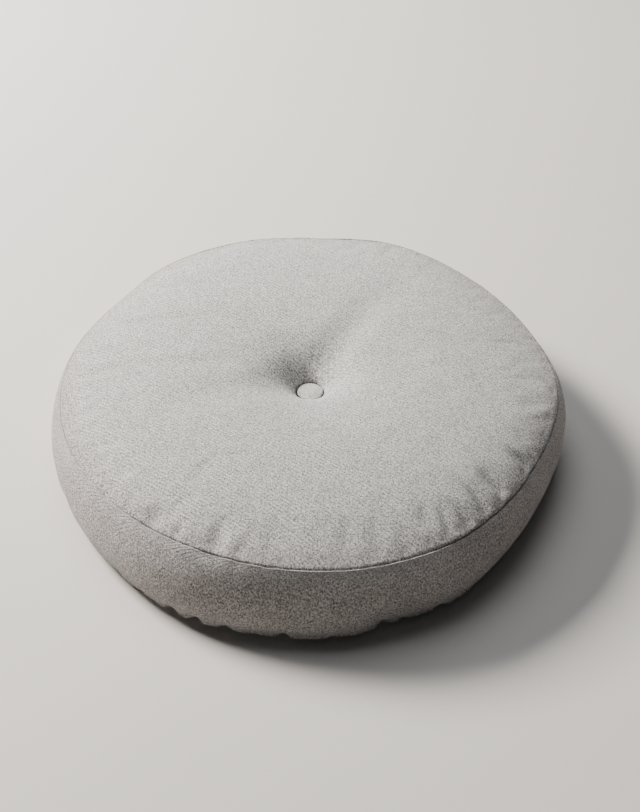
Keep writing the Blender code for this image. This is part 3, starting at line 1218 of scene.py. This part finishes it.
@dataclass
class CushionCover:
    """The filled cover: top panel, side band and bottom panel with their two seams.

    Attributes:
        form: its large form.
        settling: the run of cloth that gathers its slack.
        lumps: the filling's unevenness.
        steps: points round a ring.
        open_pitch: spacing of rings away from seams and well.
        bottom_pitch: the same on the bottom panel, which is flat and hidden.
        seam_steps: distances of the close rings beside a seam.
        well_steps: distances of the close rings out from the well.
        pucker_rise: how far from the top seam a pucker takes to open.
        seam_share: how far the puckers draw in the seam itself, as a share of their depth.
        groove_width: half of a seam line's width.
        ridge_place: how far from its seam the ridge of turned-in edges lies.
        ridge_width: half of its width, on the side of the seam.
        ridge_fall: how far it takes to fade on the other side.
        lip: how far from a seam the band's tight folded edge reaches.
        edge_painted_shade: the painted shade at the top seam, as a share of the band's full one.
        edge_reach: how far into the top panel that reaches.
        crease_painted_shade: how much painted shade lies along a crease for each mm of its depth.
        band_shade_reach: how far down the band the painted shade takes to reach its full depth.
        fold_painted_light: how much painted light lies on the tight folded edges, as painted shade
            taken off, from 0 to 1.
        shoulder_painted_light: the same for the band's shoulder, under those edges.
        shoulder_drop: how far down the band the shoulder's painted light reaches.
        turning: how evenly the edges are turned in at the seams, as a wandering angle.
        turn_change: how much their ridges vary with its sine, as a share.
        notch_sharpness: how narrow a notch's tip is, as a power.
        under_depth: how deep a notch goes on under the foot, as a share.
        under_reach: how far it does, as a share of its reach.
        foot_groove: how deep the bottom seam's line is.
        foot_ridge: how far the turned-in edges push the band out above the bottom seam.
        join_azimuth: where the band's two ends meet, at the back, in degrees.
        fill: how full the cushion is, from 0 to 1; not used.
        name: the piece's name.
    """

    form: FilledForm = field(default_factory=FilledForm)
    settling: Settling = field(default_factory=Settling)
    lumps: Lumps = field(default_factory=Lumps)
    steps: int = 640
    open_pitch: float = 0.0042
    bottom_pitch: float = 0.012
    seam_steps: tuple[float, ...] = (
        0.0003, 0.0006, 0.0010, 0.0015, 0.0021, 0.0029, 0.0040, 0.0055, 0.0075, 0.0100,
    )
    well_steps: tuple[float, ...] = (
        0.0, 0.0003, 0.0007, 0.0012, 0.0019, 0.0028, 0.0040, 0.0058, 0.0082, 0.0110,
    )
    pucker_rise: float = 0.011
    seam_share: float = 0.35
    groove_width: float = 0.0008
    ridge_place: float = 0.0021
    ridge_width: float = 0.0014
    ridge_fall: float = 0.0042
    lip: float = 0.0042
    edge_painted_shade: float = 0.75
    edge_reach: float = 0.028
    crease_painted_shade: float = 0.35
    band_shade_reach: float = 0.012
    fold_painted_light: float = 0.6
    shoulder_painted_light: float = 0.85
    shoulder_drop: float = 0.040
    turning: Wandering = Wandering(11, 3.0, 14, 60)
    turn_change: float = 0.3
    notch_sharpness: float = 2.2
    under_depth: float = 0.6
    under_reach: float = 0.5
    foot_groove: float = 0.0008
    foot_ridge: float = 0.0018
    join_azimuth: float = 90.0
    fill: float = 0.85
    name: str = "cushion_cover"

    def rings(self) -> list[Ring]:
        """Lists every ring of the cover, close together beside the seams and the well.

        Returns:
            The rings, from the well's edge to the middle of the bottom panel.
        """
        form = self.form
        near_seam = self.seam_steps[-1]
        inner = form.well_radius + self.well_steps[-1]
        outer = form.cut_radius - near_seam
        count = round((outer - inner) / self.open_pitch)
        open_radii = np.linspace(inner, outer, count + 1)[1:]
        radii = [form.well_radius + step for step in self.well_steps]
        radii += [float(radius) for radius in open_radii]
        radii += [form.cut_radius - step for step in reversed(self.seam_steps[:-1])]
        top = [(Panel.TOP, radius / form.cut_radius) for radius in radii]
        count = round((form.cut_height - 2 * near_seam) / self.open_pitch)
        drops = [0.0, *self.seam_steps[:-1]]
        drops += [float(d) for d in np.linspace(near_seam, form.cut_height - near_seam, count)]
        drops += [form.cut_height - step for step in reversed(self.seam_steps[:-1])]
        drops.append(form.cut_height)
        band = [(Panel.BAND, drop / form.cut_height) for drop in drops]
        radii = [form.cut_radius - step for step in self.seam_steps]
        count = round(radii[-1] / self.bottom_pitch)
        radii += [float(radius) for radius in np.linspace(radii[-1], 0, count + 1)[1:-1]]
        return top + band + [(Panel.BOTTOM, radius / form.cut_radius) for radius in radii]

    def build(self, tuft: Vector) -> bpy.types.Object:
        """Builds and dresses the cover.

        Args:
            tuft: a point on the tuft's axis, in the row frame.

        Returns:
            The cover, in place.
        """
        rings = self.rings()
        azimuth = np.arange(self.steps) * FULL_TURN / self.steps
        points = np.stack([self.form.place(panel, share, azimuth) for panel, share in rings])
        points = points + self._slack(rings, azimuth)
        points = points + grid_normals(points) * self._relief(rings, azimuth)[:, :, None]
        points[:, :, 2] = np.maximum(points[:, :, 2], 0.0)
        start = Vector((*self.form.tuft_shift, self.form.well_floor()))
        mesh = closed_mesh(self.name, points, start, Vector((0.0, 0.0, 0.0)))
        across, along = self.form.tuft_shift
        mesh.transform(Matrix.Translation((tuft.x - across, tuft.y - along, 0.0)))
        mesh.shade_smooth()
        self._lay_out(mesh, rings, azimuth)
        cover = linked_object(self.name, mesh)
        mesh.materials.append(COVER_CLOTH.material())
        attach(cover, "root")
        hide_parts("cushion")
        return cover

    def _slack(self, rings: list[Ring], azimuth: np.ndarray) -> np.ndarray:
        """Reads the settled cloth's moves at this cover's own rings and steps.

        Args:
            rings: the cover's rings.
            azimuth: in degrees, for each point of a ring.

        Returns:
            Moves by ring, by step round the ring, and by coordinate.
        """
        moves = self.settling.slack(self.form)
        rows = np.array([self.settling.row(self.form, panel, share) for panel, share in rings])
        by_row = sampled(moves, rows, closed=False)
        places = azimuth / FULL_TURN * self.settling.steps
        by_step = sampled(by_row.transpose(1, 0, 2), places, closed=True)
        return by_step.transpose(1, 0, 2)

    def _relief(self, rings: list[Ring], azimuth: np.ndarray) -> np.ndarray:
        """How far sewing lifts or draws in each point, along the cover's normal.

        Args:
            rings: the cover's rings.
            azimuth: in degrees, for each point of a ring.

        Returns:
            Lifts by ring and by step round the ring.
        """
        form = self.form
        lifts = []
        for panel, share in rings:
            if panel is Panel.TOP:
                lift = self._top_relief((1 - share) * form.cut_radius, azimuth)
            elif panel is Panel.BAND:
                lift = self._band_relief(share * form.cut_height, azimuth)
            else:
                lift = self._bottom_relief((1 - share) * form.cut_radius, azimuth)
            lifts.append(lift)
        return np.stack(lifts)

    def _gathered(
        self,
        gathers: tuple[Gather, ...],
        from_seam: float,
        azimuth: np.ndarray,
        sharpness: float = 1.0,
    ) -> np.ndarray:
        """How far a table of gathers draws the cloth in at a distance from their seam.

        Args:
            gathers: TOP_PUCKERS or FOOT_NOTCHES.
            from_seam: the distance, along the cut cloth.
            azimuth: in degrees, for each point of the ring.
            sharpness: how narrow each gather's tip is, as a power.

        Returns:
            Lifts below 0.
        """
        depth = np.zeros(len(azimuth))
        for gather in gathers:
            run = ease(1 - from_seam / (gather.reach * MILLIMETRE))
            across = bell(turn_between(azimuth, gather.azimuth) / gather.half_width)
            depth = depth - gather.depth * MILLIMETRE * across**sharpness * run
        return depth

    def _top_relief(self, from_seam: float, azimuth: np.ndarray) -> np.ndarray:
        """Adds up the top panel's seam groove, its puckers and the filling's lumps.

        Args:
            from_seam: the ring's distance from the seam, along the cut cloth.
            azimuth: in degrees, for each point of the ring.

        Returns:
            The lift of each point.
        """
        groove = around(SEAM, "groove", azimuth) * hump(from_seam, self.groove_width)
        held = ease(from_seam / self.pucker_rise)
        puckers = self._gathered(TOP_PUCKERS, from_seam, azimuth)
        puckers = puckers * (self.seam_share + (1 - self.seam_share) * held)
        radius, angle = self.form.cut_radius - from_seam, np.radians(azimuth)
        lumps = self.lumps.at(radius * np.cos(angle), radius * np.sin(angle))
        lumps = lumps * ease((radius - self.form.well_radius) / self.pucker_rise)
        return held * lumps + puckers - groove

    def _band_relief(self, drop: float, azimuth: np.ndarray) -> np.ndarray:
        """Adds up the band's seam lines and ridges, its puckers, notches and lumps.

        Args:
            drop: the ring's distance down from the top seam, along the cut cloth.
            azimuth: in degrees, for each point of the ring.

        Returns:
            The lift of each point.
        """
        rise = self.form.cut_height - drop
        uneven = 1 + self.turn_change * np.sin(self.turning.at(azimuth))
        lift = uneven * around(SEAM, "ridge", azimuth)
        width = self.ridge_width if drop < self.ridge_place else self.ridge_fall
        lift = lift * hump(drop - self.ridge_place, width)
        lift = lift - around(SEAM, "groove", azimuth) * hump(drop, self.groove_width)
        foot = self.foot_ridge * hump(rise - self.ridge_place, self.ridge_width)
        foot = foot - self.foot_groove * hump(rise, self.groove_width)
        held = ease(min(drop, rise) / self.pucker_rise)
        radius, angle = self.form.cut_radius, np.radians(azimuth)
        lumps = held * self.lumps.at(radius * np.cos(angle) + drop, radius * np.sin(angle) + drop)
        notches = self._gathered(FOOT_NOTCHES, rise, azimuth, self.notch_sharpness)
        drawn = self.seam_share * math.exp(-drop / self.pucker_rise)
        puckers = drawn * self._gathered(TOP_PUCKERS, 0.0, azimuth)
        return lift + lumps + uneven * foot + notches + puckers

    def _bottom_relief(self, from_seam: float, azimuth: np.ndarray) -> np.ndarray:
        """The foot's notches, as far as they go on under the cushion."""
        reached = from_seam / self.under_reach
        return self.under_depth * self._gathered(
            FOOT_NOTCHES, reached, azimuth, self.notch_sharpness
        )

    def _lay_out(self, mesh: bpy.types.Mesh, rings: list[Ring], azimuth: np.ndarray) -> None:
        """Writes where each point lies on the flat-cut cloth, and how much painted shade lies on
        it.

        Args:
            mesh: the cover's mesh.
            rings: the cover's rings.
            azimuth: in degrees, for each point of a ring.
        """
        angle = np.radians(azimuth)
        radius = self.form.cut_radius
        along = np.radians((azimuth - self.join_azimuth) % FULL_TURN) * radius
        # Each panel has a level of its own, so that no two share a stretch of the weave.
        levels = {panel: float(number) for number, panel in enumerate(Panel)}
        places, painted_shade = [], []
        for panel, share in rings:
            painted_shade.append(self._painted_shade(panel, share, azimuth))
            if panel is Panel.BAND:
                first, second = along, np.full(len(angle), share * self.form.cut_height)
            else:
                first, second = share * radius * np.cos(angle), share * radius * np.sin(angle)
            places.append(np.stack([first, second, np.full(len(angle), levels[panel])], axis=1))
        middles = [[0.0, 0.0, levels[Panel.TOP]], [0.0, 0.0, levels[Panel.BOTTOM]]]
        write_attribute(mesh, PLACE_ATTRIBUTE, np.vstack([*places, middles]))
        write_attribute(mesh, PAINTED_SHADE_ATTRIBUTE, np.concatenate([*painted_shade, [0.0, 0.0]]))

    def _painted_shade(self, panel: Panel, share: float, azimuth: np.ndarray) -> np.ndarray:
        """How much painted shade lies on one ring, from 0 to 1.

        None on the bottom panel. On the top panel it lies along the creases and where the panel
        rolls down to its seam; on the band it lies all over, less on its shoulder and its tight
        folded edges.

        Args:
            panel: the cut piece that the ring is on.
            share: the ring's place on it.
            azimuth: in degrees, for each point of the ring.

        Returns:
            One share for each point.
        """
        if panel is Panel.BOTTOM:
            return np.zeros(len(azimuth))
        if panel is Panel.TOP:
            radius = share * self.form.cut_radius
            # Painted shade on the top panel where it rolls down to its seam.
            edge = ease(1 - (self.form.cut_radius - radius) / self.edge_reach)
            # Painted shade along the creases.
            creased = self.form.fold_depth(CREASES, azimuth, radius) / MILLIMETRE
            return np.clip(self.edge_painted_shade * edge + self.crease_painted_shade * creased, 0.0, 1.0)
        drop = share * self.form.cut_height
        rise = self.form.cut_height - drop
        # Painted shade over the band, a little less just under its top seam.
        band_shade = self.edge_painted_shade + (1 - self.edge_painted_shade) * ease(drop / self.band_shade_reach)
        ridged = np.clip(around(SEAM, "ridge", azimuth) / MILLIMETRE, 0.0, 1.0)
        # Painted light on the tight folded edges at both seams and on the band's shoulder: less
        # painted shade there.
        folded = self.fold_painted_light * ridged * (1 - ease(drop / self.lip - 1))
        shoulder = self.shoulder_painted_light * ridged * (1 - ease(drop / self.shoulder_drop))
        foot = self.fold_painted_light * (1 - ease(rise / self.lip - 1))
        return band_shade * (1 - folded) * (1 - shoulder) * (1 - foot)


# ---------------------------------------------------------------- the button


@dataclass
class CoveredButton:
    """A metal-backed button covered in the cushion's own cloth, gathered behind its rim.

    Attributes:
        steps: points round a ring.
        dome: how far its face is domed, as a share of its height.
        dome_power: how flat the dome is in the middle, as a power.
        edge_round: radius of the rim's rounding.
        edge_flat: how far that rounding rises, as a share of its radius.
        edge_turn: how far round the rounding goes, in degrees.
        back_share: radius of its back, as a share of its own.
        middle_share: radius of the innermost ring, as a share of the face.
        face_rings: rings over the face, inside its rim.
        rim_rings: rings round the rim.
        side_rings: rings down the side, below the rim.
        gathers: how many small folds the cloth makes round its side.
        gather_depth: how deep they are.
        gather_level: how high they are deepest, as a share of the button's height.
        fill: how full it is, from 0 to 1; not used.
        name: the piece's name.
    """

    steps: int = 144
    dome: float = 0.36
    dome_power: float = 2.4
    edge_round: float = 0.0016
    edge_flat: float = 0.55
    edge_turn: float = 75.0
    back_share: float = 0.76
    middle_share: float = 0.06
    face_rings: int = 15
    rim_rings: int = 8
    side_rings: int = 6
    gathers: int = 26
    gather_depth: float = 0.00035
    gather_level: float = 0.35
    fill: float = 1.0
    name: str = "covered_button"

    def build(self) -> bpy.types.Object:
        """Builds and dresses the button where its solid is.

        Returns:
            The button, in place.
        """
        low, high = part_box("button")
        radius = (high.x - low.x) / 2
        height = high.z - low.z
        profile = self._profile(radius, height)
        angle = np.arange(self.steps) * 2 * np.pi / self.steps
        rings = []
        for ring_radius, level in profile:
            side = max(1 - abs(level / height - self.gather_level) / self.gather_level, 0.0)
            out = ring_radius - self.gather_depth * side * np.sin(self.gathers * angle) ** 2
            plan = (out * np.cos(angle), out * np.sin(angle))
            rings.append(np.stack([*plan, np.full(len(angle), level)], axis=1))
        centre = (low + high) / 2
        points = np.stack(rings) + np.array([centre.x, centre.y, low.z])
        top = Vector((centre.x, centre.y, high.z))
        back = Vector((centre.x, centre.y, low.z))
        mesh = closed_mesh(self.name, points, top, back)
        mesh.shade_smooth()
        flat = points.reshape(-1, 3) - np.array([centre.x, centre.y, 0.0])
        write_attribute(mesh, PLACE_ATTRIBUTE, np.vstack([flat, np.zeros((2, 3))]))
        mesh.materials.append(BUTTON_CLOTH.material())
        button = linked_object(self.name, mesh)
        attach(button, "root")
        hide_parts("button")
        return button

    def _profile(self, radius: float, height: float) -> list[tuple[float, float]]:
        """Draws the button's half section, from beside its middle to the edge of its back.

        Args:
            radius: the button's radius.
            height: the button's height, from its back to the top of its dome.

        Returns:
            Radius and height of each ring.
        """
        rim = height * (1 - self.dome)
        corner = radius - self.edge_round
        rise = height - rim - self.edge_round * self.edge_flat
        rings = []
        for share in np.linspace(self.middle_share, 1.0, self.face_rings + 1)[:-1]:
            level = height - rise * share**self.dome_power
            rings.append((float(share) * corner, float(level)))
        for turn in np.linspace(self.edge_turn, 0, self.rim_rings):
            swing = math.radians(float(turn))
            level = rim + self.edge_round * (self.edge_flat * math.sin(swing))
            rings.append((corner + self.edge_round * math.cos(swing), level))
        for share in np.linspace(0, 1, self.side_rings + 1)[1:]:
            level = rim * (1 - float(share))
            inwards = radius * (1 - (1 - self.back_share) * float(share) ** 2)
            rings.append((inwards, level))
        return rings


# ---------------------------------------------------------------- studio


@dataclass(frozen=True)
class SoftLight:
    """A large soft lamp that looks at the cushion.

    Attributes:
        name: the lamp's name.
        azimuth: where it stands, in degrees from +X towards +Y.
        elevation: how high, in degrees.
        distance: from the cushion.
        size: side of its square face.
        power: in watts.
        colour: its sRGB colour.
    """

    name: str
    azimuth: float
    elevation: float
    distance: float
    size: float
    power: float
    colour: str

    def build(self) -> bpy.types.Object:
        """Sets up the lamp.

        Returns:
            The lamp, facing the cushion's middle.
        """
        lamp = bpy.data.lights.new(self.name, "AREA")
        lamp.shape = "SQUARE"
        lamp.size = self.size
        lamp.energy = self.power
        lamp.color = linear(self.colour)[:3]
        light = linked_object(self.name, lamp)
        turn, rise = math.radians(self.azimuth), math.radians(self.elevation)
        way = Vector(
            (math.cos(turn) * math.cos(rise), math.sin(turn) * math.cos(rise), math.sin(rise))
        )
        light.location = way * self.distance
        light.rotation_euler = (-way).to_track_quat("-Z", "Y").to_euler()
        return light


@dataclass
class Studio:
    """A pale floor, soft light and the camera.

    Attributes:
        floor_side: side of the square floor.
        floor_gap: how far the floor lies under the cushion.
        camera_place: where the camera stands.
        camera_tilt: how far it looks down from level, in degrees.
        lens_mm: its focal length.
        sensor_mm: its sensor's long side.
        clip_start: how near it sees.
        sky: the room's even light, as an sRGB colour.
        sky_strength: how bright that is.
        lights: the lamps.
    """

    floor_side: float = 24.0
    floor_gap: float = 0.0002
    camera_place: tuple[float, float, float] = (0.0127, -1.3675, 1.25)
    camera_tilt: float = 41.0
    lens_mm: float = 71.82
    sensor_mm: float = 36.0
    clip_start: float = 0.05
    sky: str = "#e9edf2"
    sky_strength: float = 0.052
    lights: tuple[SoftLight, ...] = (
        SoftLight("window", 145, 36, 3.2, 1.0, 335, "#fff8f1"),
        SoftLight("ceiling", 95, 66, 3.4, 2.2, 54, "#f4f6f8"),
    )

    def build(self) -> None:
        """Sets up the floor, the light and the camera."""
        self._floor()
        self._sky()
        for light in self.lights:
            light.build()
        self._camera()

    def _floor(self) -> None:
        """Lays the floor."""
        half = self.floor_side / 2
        corners = [(-half, -half), (half, -half), (half, half), (-half, half)]
        mesh = bpy.data.meshes.new("floor")
        mesh.from_pydata([(x, y, -self.floor_gap) for x, y in corners], [], [(0, 1, 2, 3)])
        mesh.materials.append(PalePlaster().material())
        linked_object("floor", mesh)

    def _sky(self) -> None:
        """Fills the room with even light."""
        world = bpy.data.worlds.new("room")
        add = partial(add_node, empty_tree(world))
        light = add("Background", {"Color": linear(self.sky), "Strength": self.sky_strength})
        add("OutputWorld", {"Surface": light})
        bpy.context.scene.world = world

    def _camera(self) -> None:
        """Sets up the camera."""
        lens = bpy.data.cameras.new("camera")
        lens.lens = self.lens_mm
        lens.sensor_width = self.sensor_mm
        lens.clip_start = self.clip_start
        camera = linked_object("camera", lens)
        camera.location = self.camera_place
        camera.rotation_euler = (math.radians(90 - self.camera_tilt), 0.0, 0.0)
        bpy.context.scene.camera = camera


def main() -> None:
    """Builds every piece in order."""
    logging.basicConfig(level=logging.INFO, format="%(name)s: %(message)s")
    low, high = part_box("button")
    tuft = (low + high) / 2
    for piece in (CushionCover().build(tuft), CoveredButton().build()):
        log.info("%s: %d faces", piece.name, len(piece.data.polygons))
    Studio().build()
    log.info("studio ready")


if __name__ == "__main__":
    main()
